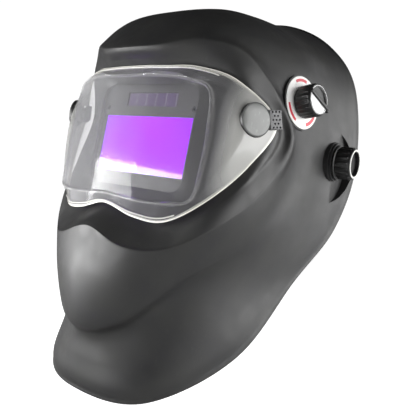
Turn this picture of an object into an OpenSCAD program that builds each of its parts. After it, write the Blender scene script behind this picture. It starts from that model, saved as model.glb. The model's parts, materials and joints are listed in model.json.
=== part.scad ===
// Auto-darkening welding helmet: tilting hood, filter cartridge, external shade knob and headgear.
// Row frame: the tilt axis is the X axis, +X is the wearer's left, -Y is forward, +Z is up, in mm.
// The hood is drawn from the centre of the filter window and then moved so the tilt axis is the origin.

/* [Hood] */
// Wall of the moulded hood
hood_wall = 2.4; // [2:0.2:3]
// Distance from the filter window back to the tilt axis
window_to_pivot_y = 128; // [126:1:130]
// Height of the tilt axis above the centre of the filter window
window_to_pivot_z = 22; // [20:1:24]
// Cross facets of the hood and the cover lens, over one half
half_columns = 30; // [24:1:36]

/* [Filter cartridge] */
// Width of the cartridge
cartridge_w = 110; // [108:1:110]
// Height of the cartridge
cartridge_h = 90; // [88:1:90]
// Thickness of each half of the cartridge case
case_half_t = 5; // [5:0.5:6]
// Width of the viewing window
window_w = 100; // [92:1:100]
// Height of the viewing window
window_h = 50; // [42:1:50]
// Height of the cartridge's centre above the window's centre
cartridge_up = 7.25; // [6:0.25:8]
// Wall of the cartridge case
case_wall = 1.4; // [1.2:0.1:1.6]
// Width of the solar cell
solar_w = 57; // [50:1:60]
// Height of the solar cell
solar_h = 12; // [10:1:14]

/* [Cover lens] */
// Thickness of the clear cover lens
lens_wall = 2; // [1.5:0.1:2.2]
// Radius of the domed studs that hold the lens
stud_r = 13; // [12:0.5:14]

/* [Shade knob] */
// Radius of the white scale plate
dial_r = 22; // [20:0.5:23]
// Radius of the shade knob
knob_r = 13; // [11:0.5:14]
// Height of the shade knob
knob_h = 15; // [12:0.5:16]

/* [Tilt pivots] */
// Radius of the pivot bolts
bolt_r = 5; // [4:0.5:5]
// Radius of the tension knobs
tension_r = 14; // [13:0.5:15]
// Length of the tension knobs
tension_l = 16.5; // [15:0.5:17]
// Angle through which the hood lifts
lift_angle = 70; // [50:5:75]

/* [Headgear] */
// Inner radius of the forehead band
band_r = 86; // [84:1:86]
// Height of the forehead band
band_h = 28; // [24:1:28]
// Thickness of the bands
band_t = 2; // [1.6:0.1:2]
// Angle by which the headgear leans back
band_tilt = 12; // [8:1:14]

/* [Hidden] */
$fn = 64;
run_gap = 0.05;         // radial clearance of a shaft in its bore
gap = 0.3;              // clearance between separate pieces

// Control net of the hood's outer face, from the window's centre. Each row runs over the wearer's
// left half from the top centre line round the side to the chin's centre line.
rim_row = [[0, 128, 160], [52, 129, 157], [95, 135, 136], [122, 148, 98], [132, 159, 25],
           [125, 151, -38], [110, 116, -92], [96, 62, -160], [58, 3, -201], [0, -17, -207]];
lip_row = [[0, 118, 157], [50, 119, 153], [91, 124, 132], [117, 134, 96], [127, 141, 22],
           [120, 131, -42], [106, 101, -94], [90, 49, -151], [53, -4, -190], [0, -21, -196]];
flare_row = [[0, 98, 150], [48, 98, 146], [87, 100, 124], [112, 108, 90], [120, 118, 17],
             [115, 112, -49], [101, 84, -94], [79, 33, -140], [45, -6, -174], [0, -22, -180]];
nape_row = [[0, 62, 142], [46, 60, 137], [84, 62, 116], [108, 78, 86], [115, 88, 15],
            [110, 78, -41], [91, 46, -80], [66, 14, -113], [33, -10, -151], [0, -24, -161]];
crown_row = [[0, 25, 129], [45, 24, 125], [80, 32, 108], [104, 58, 78], [113, 74, 20],
             [107, 60, -35], [91, 31, -72], [68, 0, -101], [36, -22, -139], [0, -35, -149]];
temple_row = [[0, -7, 110], [42, -5, 107], [74, 9, 98], [99, 38, 71], [112, 62, 24],
              [107, 46, -30], [91, 17, -65], [66, -10, -93], [36, -32, -112], [0, -42, -114]];
crest_row = [[0, -35, 75], [30, -30, 77], [60, -13, 85], [89, 15, 76], [113, 56, 28],
             [107, 34, -24], [89, 4, -60], [61, -20, -83], [34, -36, -87], [0, -41, -79]];
brow_row = [[0, -37.5, 67], [30, -32, 70], [60, -14.5, 79], [89, 13, 72], [112, 52, 28],
            [106, 31, -22], [88, 1, -57], [60, -19, -79], [33, -34, -82], [0, -40, -73]];
ledge_row = [[0, -27, 63], [30, -24, 64], [59, -11, 69], [87, 9, 61], [106, 47, 28],
             [103, 25, -14], [85, 0, -47], [58, -14.5, -69], [31, -25, -70], [0, -31, -63]];
seat_row = [[0, -18, 59.5], [30, -16.5, 59.5], [57, -7, 61], [82, 9, 52], [102, 30, 27],
            [97, 19, -8], [80, 3, -38], [56, -11, -60], [30, -18, -61], [0, -22, -54]];
opening_row = [[0, -2.5, 51.5], [24, -2.5, 51.5], [46, -2.5, 51], [54.2, -2.5, 42], [54.2, -2.5, 22],
               [54.2, -2.5, -6], [54, -2.5, -26], [46, -2.5, -36.5], [24, -2.5, -37], [0, -2.5, -37]];
hood_net = [rim_row, lip_row, flare_row, nape_row, crown_row, temple_row,
            crest_row, brow_row, ledge_row, seat_row, opening_row];
// How many rings of facets lie between one row of the net and the next, outside and inside
outer_rings = [1, 3, 3, 2, 2, 2, 1, 2, 2, 2];
inner_rings = [1, 1, 2, 2, 1, 1, 0, 1, 1, 1];

// Round seat of each tension knob, sunk into the flare, from the window's centre
seat_x = 122.5;
seat_centre = [120, 17];
seat_r = 34;

// Control net of the cover lens, from its edge to the border of its flat pane
lens_edge_row = [[0, -22, 60.5], [30, -20.5, 60.5], [57, -12, 62.5], [84, 4, 53], [110, 28, 27],
                 [101, 15, -7], [81, -2, -39], [57, -17, -60.5], [30, -24.5, -61.5], [0, -28, -54.5]];
lens_bevel_row = [[0, -26, 55], [30, -24.5, 55], [57, -16.5, 55], [79, -3, 46], [97, 4, 23],
                  [91, -1, -9], [77, -8, -38], [56, -19.5, -53], [30, -26.5, -54], [0, -29.5, -50]];
lens_step_row = [[0, -29.5, 50], [30, -28, 50.5], [57, -20.5, 49.5], [73, -12.5, 43], [77.5, -10.5, 15],
                 [77.5, -10.5, -14], [74, -13, -41], [56, -21.5, -47.5], [30, -28, -48.5], [0, -30.5, -47]];
pane_front = -31;       // y of the middle of the pane
pane_bow = 0.0031;      // how fast the pane curves back with x squared
function pane_ring(row, k) =
    [for (p = row) [p[0] * k, pane_front + pane_bow * p[0] * p[0] * k * k, p[2] * k]];
lens_net = [lens_edge_row, lens_bevel_row, lens_step_row, pane_ring(lens_step_row, 0.96),
            pane_ring(lens_step_row, 0.5)];
lens_rings = [3, 2, 1, 2];

// Places on the hood, from the window's centre: centre, turn from forward to +X, and upward tip
ear_at = [101.5, 12, 26.5];
ear_turn = 63;
ear_tip = 2;
dial_at = [108.8, 64.4, 57.8];
dial_turn = 78;
dial_tip = 6.5;
dial_boss_d = 9;        // how far the dial's boss reaches inwards
dial_boss_up = 1.2;     // how far it stands proud of the hood
knob_z = 2.4;           // underside of the shade knob above the hood

// Release tab beside each lens stud
release_l = 11.5;
release_w = 15;
release_t = 2.4;
release_x = stud_r + 1.4;
dimple_r = 0.85;
dimple_step = 3.1;

// Stations along the tilt axis
bolt_head_x = 83.4;
bolt_head_t = 2;
arm_x = 88.3;
arm_hub_end_x = 96;
stop_x = 96.3;
boss_x = 104;
boss_r = 18.5;
boss_floor_t = 3;
boss_wall = 2.5;
washer_x = seat_x + 0.1;
washer_t = 2.2;
tension_x = washer_x + washer_t + 0.1;
bolt_end_x = tension_x + 11;
stop_pin_r = 2.4;
stop_pin_at = 11.5;     // distance of the stop pin from the tilt axis
stop_pin_angle = 55;

// Cartridge stations, from the window's plane
case_y = 1.2;
case_back_y = case_y + 2 * case_half_t;
inner_lens_t = 1;
holder_lip_y = 2.4;     // front of the holder's thin lip, which reaches forward to the hood
holder_lip_wall = 1.2;
holder_y = 4.2;         // front of its full wall
holder_end_y = 11.5;
holder_wall = 4.5;
wire_r = 1.25;
bail_x = 47;
bail_y = 13.8;
bail_top_z = 55;
bail_bottom_z = -40;
control_z = -32;
control_x = 20;
control_r = 4.2;
drawer_x = -34;
drawer_w = 22;

// Headgear stations, in the leaning frame whose origin is on the tilt axis
side_run = 48;          // straight side of the forehead band behind the tilt axis
tail_r = band_r - band_t - gap;
tail_centre_y = 46;
tail_front_y = 24;
tail_h = 18;
rack_y = 126.6;
crown_z = band_h / 2 + gap;
crown_w = 20;
crown_pin_angles = [84, 96];
housing_y = 124;
housing_d = 12;
cover_t = 3;
housing_x = 30;

// Route of the shade cable inside the hood, from the window's centre
cable_r = 1.5;
cable_route = [[96.2, 67.1, 48.9], [92.9, 67.8, 48.5], [90.2, 66.6, 48], [88.4, 63.4, 47.6],
               [87.8, 58.5, 47.3],
               [87.6, 51, 47.1], [86.8, 43, 47], [83.5, 34, 47.3], [78.5, 26, 47.5], [71.5, 20, 47],
               [64, 16.8, 46], [58, 15.5, 45], [54.6, 14.8, 44.3], [52.8, 13.5, 44], [52.4, 12.3, 44],
               [52.4, 11.3, 44]];

// ---- curves and surfaces ----

function blend4(a, b, c, d, f) =
    0.5 * (2 * b + (c - a) * f + (2 * a - 5 * b + 4 * c - d) * f * f + (3 * b - a - 3 * c + d) * f * f * f);
function flip(p) = [-p[0], p[1], p[2]];

// Point of one row at column u, carried on past both centre lines by its mirror image
function row_point(row, u) =
    let (last = len(row) - 1, i = min(floor(u), last - 1),
         before = i == 0 ? flip(row[1]) : row[i - 1],
         after = i + 2 > last ? flip(row[last - 1]) : row[i + 2])
    blend4(before, row[i], row[i + 1], after, u - i);

// Point of the net at column u and row v
function net_point(net, u, v) =
    let (last = len(net) - 1, i = min(floor(v), last - 1),
         b = row_point(net[i], u), c = row_point(net[i + 1], u),
         a = i == 0 ? 2 * b - c : row_point(net[i - 1], u),
         d = i + 2 > last ? 2 * c - b : row_point(net[i + 2], u))
    blend4(a, b, c, d, v - i);

// Unit normal of the net, pointing outwards
function net_normal(net, u, v) =
    let (e = 0.05, u_end = len(net[0]) - 1, v_end = len(net) - 1,
         across = net_point(net, min(u + e, u_end), v) - net_point(net, max(u - e, 0), v),
         along = net_point(net, u, min(v + e, v_end)) - net_point(net, u, max(v - e, 0)),
         n = cross(along, across))
    n / norm(n);

// Rows v at which rings of facets are drawn
function stations(counts) = [for (i = [0:len(counts) - 1]) for (j = [0:1:counts[i] - 1]) i + j / counts[i],
                             len(counts)];

// A closed ring of points at row v, pushed inwards by depth
function ring(net, v, depth) =
    let (n = half_columns, last = len(net[0]) - 1,
         half = [for (k = [0:n]) let (u = k * last / n,
                                          p = net_point(net, u, v) - depth * net_normal(net, u, v))
                 [k == 0 || k == n ? 0 : p[0], p[1], p[2]]])
    concat(half, [for (k = [n - 1:-1:1]) flip(half[k])]);

// The tension knob's seat: whatever of the flare stands proud of it is pressed in to it
function seated(p, depth) =
    norm([p[1] - seat_centre[0], p[2] - seat_centre[1]]) < seat_r + depth && abs(p[0]) > seat_x - depth
    ? [sign(p[0]) * (seat_x - depth), p[1], p[2]] : p;

// Faces that join ring after ring, each of n points
function strips(rings, n) = [for (i = [0:rings - 2]) for (k = [0:n - 1])
    let (a = i * n + k, b = i * n + (k + 1) % n) each [[a, b, b + n], [a, b + n, a + n]]];

// ---- placing ----

module from_window() translate([0, -window_to_pivot_y, -window_to_pivot_z]) children();
module on_side(side) mirror([side < 0 ? 1 : 0, 0, 0]) children();
module along_x(x) translate([x, 0, 0]) rotate([0, 90, 0]) children();
module facing(at, turn, tip) translate(at) rotate([0, 0, turn]) rotate([90 - tip, 0, 0]) children();
module on_ear(side) on_side(side) from_window() facing(ear_at, ear_turn, ear_tip) children();
module on_dial() from_window() facing(dial_at, dial_turn, dial_tip) children();
module on_band() rotate([-band_tilt, 0, 0]) children();
module slab(w, t, h) translate([-w / 2, 0, -h / 2]) cube([w, t, h]);
module tube(r_out, r_in, h) difference() {
    cylinder(r = r_out, h = h);
    translate([0, 0, -1]) cylinder(r = r_in, h = h + 2);
}

// ---- hood ----

module hood_skin() {
    outer = [for (v = stations(outer_rings)) [for (p = ring(hood_net, v, 0)) seated(p, 0)]];
    inner = [for (v = stations(inner_rings)) [for (p = ring(hood_net, v, hood_wall)) seated(p, hood_wall)]];
    rings = concat(outer, [for (i = [len(inner) - 1:-1:0]) inner[i]], [outer[0]]);
    n = 2 * half_columns;
    count = len(outer) + len(inner);
    points = [for (r = rings) each r];
    faces = [for (f = strips(count + 1, n)) [for (i = f) i % (count * n)]];
    from_window() polyhedron([for (i = [0:count * n - 1]) points[i]], faces);
}

module pivot_boss() along_x(boss_x) cylinder(r = boss_r, h = seat_x - boss_x);

module pivot_boss_cuts() {
    along_x(boss_x + boss_floor_t)
        cylinder(r = boss_r - boss_wall, h = seat_x - boss_wall - boss_x - boss_floor_t);
    along_x(boss_x - 1) cylinder(r = bolt_r + run_gap, h = 30);
    along_x(boss_x - 1) stop_slot(boss_floor_t + 2);
    along_x(washer_x - 0.02) cylinder(r = boss_r, h = 20);
}

// Arc slot that the tilt stop's pin runs in: in this turned frame +x is down and +y is back
module stop_slot(t) {
    wide = stop_pin_r + gap;
    rotate([0, 0, 90 + stop_pin_angle]) rotate_extrude(angle = lift_angle)
        translate([stop_pin_at - wide, 0]) square([2 * wide, t]);
    for (a = [0, lift_angle])
        rotate([0, 0, 90 + stop_pin_angle + a]) translate([stop_pin_at, 0, 0]) cylinder(r = wide, h = t);
}

module hood() color([0.09, 0.09, 0.1]) difference() {
    union() {
        hood_skin();
        for (side = [-1, 1]) on_side(side) pivot_boss();
        on_dial() translate([0, 0, -dial_boss_d]) cylinder(r = dial_r + 1, h = dial_boss_d + dial_boss_up);
    }
    for (side = [-1, 1]) {
        on_side(side) pivot_boss_cuts();
        on_ear(side) translate([0, 0, -25]) cylinder(r = 4.1, h = 20);
    }
    on_dial() translate([0, 0, -dial_boss_d - 1]) {
        cylinder(r = 4.1, h = 20);
        cylinder(r = 12, h = dial_boss_d + 1 - 3.5);
    }
}

// ---- cover lens and what holds it ----

module cover_lens_skin() {
    outer = [for (v = stations(lens_rings)) ring(lens_net, v, 0)];
    inner = [for (v = stations(lens_rings)) ring(lens_net, v, lens_wall)];
    n = 2 * half_columns;
    m = len(outer);
    rings = concat([for (i = [m - 1:-1:0]) outer[i]], inner);
    points = concat([for (r = rings) each r], [[0, pane_front, 0], [0, pane_front + lens_wall, 0]]);
    front = len(points) - 2;
    last = (2 * m - 1) * n;
    faces = concat([for (f = strips(2 * m, n)) [f[0], f[2], f[1]]],
                   [for (k = [0:n - 1]) [front, k, (k + 1) % n]],
                   [for (k = [0:n - 1]) [front + 1, last + (k + 1) % n, last + k]]);
    from_window() polyhedron(points, faces);
}

module cover_lens() color([0.85, 0.88, 0.9, 0.5]) difference() {
    cover_lens_skin();
    for (side = [-1, 1]) on_ear(side) {
        translate([0, 0, 0.2]) cylinder(r = stud_r + gap, h = 6);
        translate([0, 0, -9]) cylinder(r = 8.6, h = 14);
        translate([0, -8, -9]) cube([26, 16, 14]);
    }
}

module lens_stud(side) color([0.2, 0.2, 0.21]) on_ear(side) {
    translate([0, 0, 0.4]) cylinder(r = stud_r, h = 2.2);
    translate([0, 0, 2.6]) intersection() {
        cylinder(r = stud_r, h = 2);
        translate([0, 0, 1.6 - 60]) sphere(r = 60, $fn = 128);
    }
    translate([0, 0, -9]) cylinder(r = 7, h = 9.4);
    translate([0, 0, -22]) cylinder(r = 4, h = 13);
    translate([0, -5, -4.6]) cube([release_x - 1.3, 10, 2.4]);
}
module lens_stud_left() lens_stud(1);
module lens_stud_right() lens_stud(-1);

module lens_release(side) color([0.35, 0.35, 0.37]) on_ear(side) translate([release_x, 0, 0]) difference() {
    union() {
        translate([0, -release_w / 2, -1.4]) cube([release_l, release_w, release_t]);
        translate([0.2, release_w / 2 - 1, -1.6]) rotate([90, 0, 0]) cylinder(r = 1.2, h = release_w - 2);
    }
    for (row = [0:4]) for (k = [0:1:2 - row % 2])
        translate([3 + (k + (row % 2) / 2) * dimple_step, (row - 2) * 3, -0.3]) cylinder(r = dimple_r, h = 3);
}
module lens_release_left() lens_release(1);
module lens_release_right() lens_release(-1);

// ---- filter cartridge ----

module at_case(y) from_window() translate([0, y, cartridge_up]) children();

module filter_holder() color([0.12, 0.12, 0.13]) difference() {
    union() {
        at_case(holder_y)
            slab(cartridge_w + 2 * holder_wall, holder_end_y - holder_y, cartridge_h + 2 * holder_wall);
        at_case(holder_lip_y)
            slab(cartridge_w + 2 * holder_lip_wall, 4, cartridge_h + 2 * holder_lip_wall);
        for (x = [-40, 40]) from_window() translate([x - 4, 8, bail_top_z - 3]) cube([8, bail_y - 5, 5]);
    }
    at_case(holder_lip_y - 1) slab(cartridge_w + 2 * gap, 20, cartridge_h + 2 * gap);
    from_window() translate([-50, bail_y, bail_top_z]) rotate([0, 90, 0])
        cylinder(r = wire_r + run_gap, h = 100);
    from_window() translate([drawer_x - drawer_w / 2 - gap, case_y + 4.7, 40])
        cube([drawer_w + 2 * gap, 4.9, 30]);
}

module retaining_bail() color([0.75, 0.75, 0.77]) from_window() {
    for (z = [bail_top_z, bail_bottom_z])
        translate([-bail_x, bail_y, z]) rotate([0, 90, 0]) cylinder(r = wire_r, h = 2 * bail_x);
    for (x = [-bail_x, bail_x])
        translate([x, bail_y, bail_bottom_z]) cylinder(r = wire_r, h = bail_top_z - bail_bottom_z);
    for (x = [-bail_x, bail_x]) for (z = [bail_top_z, bail_bottom_z]) translate([x, bail_y, z])
        sphere(r = wire_r);
}

module filter_case_front() color([0.25, 0.25, 0.27]) difference() {
    at_case(case_y) slab(cartridge_w, case_half_t, cartridge_h);
    at_case(case_y + case_wall) slab(cartridge_w - 2 * case_wall, 20, cartridge_h - 2 * case_wall);
    from_window() translate([0, -1, 0]) slab(window_w, 10, window_h);
    from_window() translate([1.7, -1, 39.6]) slab(solar_w, 10, solar_h);
    for (x = [-49, 49]) from_window() translate([x, -1, 32]) rotate([-90, 0, 0]) cylinder(r = 2.2, h = 10);
}

module filter_case_back() color([0.1, 0.1, 0.11]) difference() {
    at_case(case_y + case_half_t) slab(cartridge_w, case_half_t, cartridge_h);
    at_case(case_y) slab(cartridge_w - 2 * case_wall, 2 * case_half_t - case_wall,
        cartridge_h - 2 * case_wall);
    from_window() translate([0, 1, 0]) slab(window_w, 20, window_h);
    for (x = [-control_x, control_x])
        from_window() translate([x, 1, control_z]) rotate([-90, 0, 0]) cylinder(r = 2 + run_gap, h = 20);
    from_window() translate([drawer_x - drawer_w / 2 - gap, case_y + case_half_t + 0.1, 40])
        cube([drawer_w + 2 * gap, 3.4, 20]);
}

module filter_glass() color([0.45, 0.2, 0.9]) from_window()
    translate([0, case_y + case_wall + 0.1, 0]) slab(window_w + 4, 5.5, window_h + 4);

module inner_cover_lens() color([0.85, 0.9, 0.92, 0.5]) from_window()
    translate([0, case_back_y + 0.05, 0]) slab(window_w - 8 + 14, inner_lens_t, window_h + 3);

module solar_cell() color([0.16, 0.12, 0.2]) from_window()
    translate([1.7, case_y + 0.9, 39.6]) slab(solar_w - 0.4, 1.6, solar_h - 0.4);

module arc_sensors() color([0.05, 0.05, 0.08])
    for (x = [-49, 49])
        from_window() translate([x, case_y + 0.7, 32]) rotate([-90, 0, 0]) cylinder(r = 2.1, h = 2);

module circuit_board() color([0.1, 0.35, 0.2]) from_window() {
    translate([7, case_y + 3.4, 39.6]) slab(90, 1.2, 21);
    for (x = [12, 26, 38]) translate([x, case_y + 4.6, 40]) slab(8, 1.3, 8);
}

module battery_drawer() color([0.14, 0.14, 0.15]) from_window() difference() {
    translate([drawer_x - drawer_w / 2, case_y + case_half_t + 0.3, 30]) cube([drawer_w, 3, 22.9]);
    translate([drawer_x, case_y + case_half_t - 0.5, 40.8]) rotate([-90, 0, 0]) cylinder(r = 10.2, h = 3.2);
}

module coin_cell() color([0.8, 0.8, 0.8]) from_window()
    translate([drawer_x, case_y + case_half_t + 0.4, 40.8]) rotate([-90, 0, 0]) cylinder(r = 10, h = 2.2);

module control_knob(x) color([0.06, 0.06, 0.06])
    from_window() translate([x, 0, control_z]) rotate([-90, 0, 0]) {
    difference() {
        union() {
            translate([0, 0, case_back_y + 0.2]) cylinder(r = control_r, h = 3.6);
            for (a = [0:30:330])
                rotate([0, 0, a]) translate([control_r, 0, case_back_y + 0.6])
                    cylinder(r = 0.5, h = 2.8, $fn = 8);
        }
        translate([-3, -0.5, case_back_y + 3]) cube([6, 1, 2]);
    }
    translate([0, 0, case_back_y - 3]) cylinder(r = 2, h = 3.5);
}
module sensitivity_knob() control_knob(-control_x);
module delay_knob() control_knob(control_x);

// ---- external shade control ----

module dial_plate() color([0.92, 0.92, 0.9]) on_dial() translate([0, 0, dial_boss_up + 0.05])
    tube(dial_r, 8, 0.8);

module shade_nut() color([0.75, 0.72, 0.6]) on_dial() difference() {
    translate([0, 0, dial_boss_up + 0.05]) cylinder(r = 6.4, h = 2.4, $fn = 6);
    cylinder(r = 4.05, h = 5);
}

module potentiometer() color([0.3, 0.32, 0.3]) on_dial() difference() {
    union() {
        translate([0, 0, -13.5]) cylinder(r = 10.5, h = 9);
        translate([0, 0, -5]) cylinder(r = 4, h = 9.4);
        translate([-8, -14.5, -13.5]) cube([16, 5, 4]);
    }
    translate([0, 0, -12]) cylinder(r = 3 + run_gap, h = 20);
}

module shade_shaft() color([0.7, 0.7, 0.7]) on_dial() translate([0, 0, -11.5]) cylinder(r = 3, h = 23);

module shade_knob() color([0.03, 0.03, 0.03]) on_dial() difference() {
    union() {
        translate([0, 0, knob_z]) cylinder(r = knob_r, h = knob_h);
        for (a = [0:15:345])
            rotate([0, 0, a]) translate([knob_r, 0, knob_z + 0.8])
                cylinder(r = 0.5, h = knob_h - 2.6, $fn = 16);
        translate([0, 0, knob_z + knob_h]) intersection() {
            rotate([0, 0, 45]) translate([-knob_r - 2.4, -1.3, 0]) cube([2 * knob_r + 4.8, 2.6, 2.4]);
            cylinder(r = knob_r + 2.2, h = 5);
        }
    }
    cylinder(r = 7.6, h = 5);
    cylinder(r = 3 + run_gap, h = 12);
    translate([0, 0, knob_z + knob_h - 1]) tube(knob_r - 1, 10, 3);
}

module shade_knob_cap() color([0.8, 0.8, 0.8]) on_dial()
    translate([0, 0, knob_z + knob_h - 0.9]) difference() {
        tube(knob_r - 1.1, 10.1, 1.7);
        rotate([0, 0, 45]) translate([-20, -1.4, 0.8]) cube([40, 2.8, 3]);
    }

// One ring of the cable's skin around a route point, in the plane across its direction
function cable_ring(i) =
    let (last = len(cable_route) - 1, p = cable_route[i],
         d = cable_route[min(i + 1, last)] - cable_route[max(i - 1, 0)], t = d / norm(d),
         s = cross(t, [0, 0, 1]) / norm(cross(t, [0, 0, 1])), w = cross(s, t))
    [for (k = [0:7]) p + cable_r * (cos(45 * k) * s + sin(45 * k) * w)];

module shade_cable() color([0.05, 0.05, 0.05]) {
    n = len(cable_route);
    points = [for (i = [0:n - 1]) each cable_ring(i)];
    faces = concat(strips(n, 8), [[for (k = [7:-1:0]) k]], [[for (k = [0:7]) (n - 1) * 8 + k]]);
    from_window() polyhedron(points, faces);
}

// ---- tilt pivots ----

module pivot_bolt(side) color([0.7, 0.7, 0.72]) on_side(side) {
    along_x(bolt_head_x) cylinder(r = 9, h = bolt_head_t);
    along_x(bolt_head_x + 1) cylinder(r = bolt_r, h = bolt_end_x - bolt_head_x - 1);
}
module pivot_bolt_left() pivot_bolt(1);
module pivot_bolt_right() pivot_bolt(-1);

module tension_knob(side) color([0.03, 0.03, 0.03]) on_side(side) difference() {
    union() {
        along_x(tension_x) cylinder(r = tension_r + 2, h = 2.5);
        along_x(tension_x) cylinder(r = tension_r, h = tension_l);
        for (a = [0:20:340])
            along_x(tension_x + 4) rotate([0, 0, a]) translate([tension_r, 0, 0])
                cylinder(r = 0.9, h = tension_l - 5.5, $fn = 16);
    }
    along_x(tension_x - 1) cylinder(r = 8.05, h = 13);
    along_x(tension_x + tension_l - 1.2) tube(tension_r - 1.2, tension_r - 3.2, 5);
}
module tension_knob_left() tension_knob(1);
module tension_knob_right() tension_knob(-1);

module tension_insert(side) color([0.8, 0.65, 0.3]) on_side(side) along_x(tension_x + 0.2) difference() {
    cylinder(r = 8, h = 11.5);
    translate([0, 0, -1]) cylinder(r = bolt_r + run_gap, h = 12.2);
}
module tension_insert_left() tension_insert(1);
module tension_insert_right() tension_insert(-1);

module friction_washers() color([0.85, 0.85, 0.8]) for (side = [-1, 1])
    on_side(side) along_x(washer_x) tube(boss_r - 1, bolt_r + 0.1, washer_t);

module tilt_stop(side) color([0.1, 0.1, 0.1]) on_side(side) {
    along_x(stop_x) difference() {
        tube(15, bolt_r + 0.1, boss_x - stop_x - gap);
        for (a = [0:60:300]) rotate([0, 0, a]) translate([9.5, 0, -1]) cylinder(r = 1.8, h = 4);
    }
    along_x(boss_x - gap - 0.01) rotate([0, 0, 90 + stop_pin_angle]) translate([stop_pin_at, 0, 0])
        cylinder(r = stop_pin_r, h = boss_floor_t);
}
module tilt_stop_left() tilt_stop(1);
module tilt_stop_right() tilt_stop(-1);

// ---- headgear ----

module side_arm(side) color([0.08, 0.08, 0.08]) on_side(side) on_band() difference() {
    union() {
        translate([arm_x, -24, -band_h / 2]) cube([3, side_run + 20, band_h]);
        translate([arm_x, -crown_w / 2, 0]) cube([3, crown_w, band_h / 2 + 18]);
        along_x(arm_x) cylinder(r = 13, h = arm_hub_end_x - arm_x);
    }
    along_x(arm_x - 1) cylinder(r = bolt_r + 0.1, h = 20);
    translate([0, 0, crown_z + 10]) along_x(arm_x - 1) cylinder(r = 2.55, h = 6);
}
module side_arm_left() side_arm(1);
module side_arm_right() side_arm(-1);

module forehead_band() color([0.08, 0.08, 0.08]) on_band() difference() {
    union() {
        translate([0, 0, -band_h / 2]) rotate([0, 0, 180]) rotate_extrude(angle = 180)
            translate([band_r, 0]) square([band_t, band_h]);
        for (side = [-1, 1]) on_side(side) translate([band_r, 0, -band_h / 2])
            cube([band_t, side_run, band_h]);
    }
    for (side = [-1, 1]) on_side(side) along_x(band_r - 1) cylinder(r = bolt_r + 0.1, h = 5);
    for (a = [-60:12:60]) rotate([0, 0, a]) rotate([90, 0, 0])
        translate([0, 0, band_r - 2]) cylinder(r = 2.2, h = 6);
}

// Strap over the head: an arc from one side, past the top
module crown_arc(r, from, to) rotate([90, 0, 0]) rotate([0, 0, from]) translate([0, 0, -crown_w / 2])
    rotate_extrude(angle = to - from) translate([r, 0]) square([1.6, crown_w]);

module crown_holes() {
    for (a = crown_pin_angles) rotate([0, 90 - a, 0]) cylinder(r = 2.55, h = 120);
    translate([0, 0, 10]) along_x(band_r - 4) cylinder(r = 2.55, h = 8);
}

module crown_strap_left() color([0.1, 0.1, 0.1]) on_band() translate([0, 0, crown_z]) difference() {
    crown_arc(band_r, 0, 104);
    crown_holes();
}

module crown_strap_right() color([0.1, 0.1, 0.1]) on_band() translate([0, 0, crown_z]) difference() {
    union() {
        crown_arc(band_r, 106, 180);
        crown_arc(band_r + 1.6, 106, 112);
        crown_arc(band_r + 1.8, 76, 112);
    }
    crown_holes();
    mirror([1, 0, 0]) crown_holes();
}

module crown_rivets() color([0.1, 0.1, 0.1]) for (side = [-1, 1])
    on_side(side) on_band() translate([0, 0, crown_z + 10]) {
        along_x(band_r - 2.7) cylinder(r = 4.5, h = 1.2);
        along_x(band_r - 2) cylinder(r = 2.5, h = arm_x + 5.4 - band_r);
        along_x(arm_x + 3.1) cylinder(r = 4.5, h = 1.2);
    }

module crown_pins() color([0.15, 0.15, 0.15]) on_band() translate([0, 0, crown_z])
    for (a = crown_pin_angles) rotate([0, 90 - a, 0]) {
        translate([0, 0, band_r - 0.9]) cylinder(r = 2.5, h = 5);
        translate([0, 0, band_r + 3.9]) cylinder(r = 4.5, h = 1.4);
    }

module sweatband() color([0.2, 0.2, 0.2]) on_band() translate([0, 0, -band_h / 2 - 2])
    rotate([0, 0, 270 - 68]) rotate_extrude(angle = 136) translate([band_r - 7, 0]) square([6.6, band_h + 4]);

// Strap from the side to the ratchet, then a straight rack along it
module band_tail(side) color([0.1, 0.1, 0.1]) on_side(side) on_band() {
    translate([tail_r, tail_front_y, -tail_h / 2]) cube([band_t, tail_centre_y - tail_front_y, tail_h]);
    translate([0, tail_centre_y, -tail_h / 2])
        rotate_extrude(angle = 73) translate([tail_r, 0]) square([band_t, tail_h]);
    translate([0, rack_y, side > 0 ? 6.4 : -9]) linear_extrude(2.6)
        polygon([[28, 0], [28, band_t], [-22, band_t], [-22, 0]]);
    for (x = [-21:2.5:19]) translate([x, rack_y, side > 0 ? 5.6 : -6.5]) cube([1.1, band_t, 0.9]);
}
module band_tail_left() band_tail(1);
module band_tail_right() band_tail(-1);

module ratchet_housing() color([0.07, 0.07, 0.07]) on_band() difference() {
    translate([0, housing_y, 0]) slab(2 * housing_x, housing_d, 2 * 14);
    translate([0, housing_y - 1, 0]) slab(2 * housing_x - 4, 8, 20);
    translate([0, housing_y - 1, 0]) slab(2 * housing_x + 4, 6, tail_h + 2 * gap);
    translate([0, housing_y, 0]) rotate([-90, 0, 0]) cylinder(r = 4 + run_gap, h = 30);
}

module ratchet_cover() color([0.1, 0.1, 0.1]) on_band()
    translate([0, housing_y - cover_t - 0.1, 0]) slab(2 * housing_x, cover_t, 2 * 14);

module ratchet_pinion() color([0.8, 0.8, 0.75]) on_band() translate([0, housing_y + 1, 0])
    rotate([-90, 0, 0]) {
    cylinder(r = 3.8, h = 5);
    for (a = [0:30:330]) rotate([0, 0, a]) translate([3.4, -0.5, 0]) cube([1.6, 1, 5]);
    translate([0, 0, 4.9]) cylinder(r = 4, h = housing_d + 4);
}

module ratchet_spring() color([0.75, 0.75, 0.77]) on_band() difference() {
    translate([0, housing_y + 6.1, 0]) slab(30, 0.6, 9);
    translate([0, housing_y + 5, 0]) rotate([-90, 0, 0]) cylinder(r = 4.4, h = 5);
}

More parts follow.
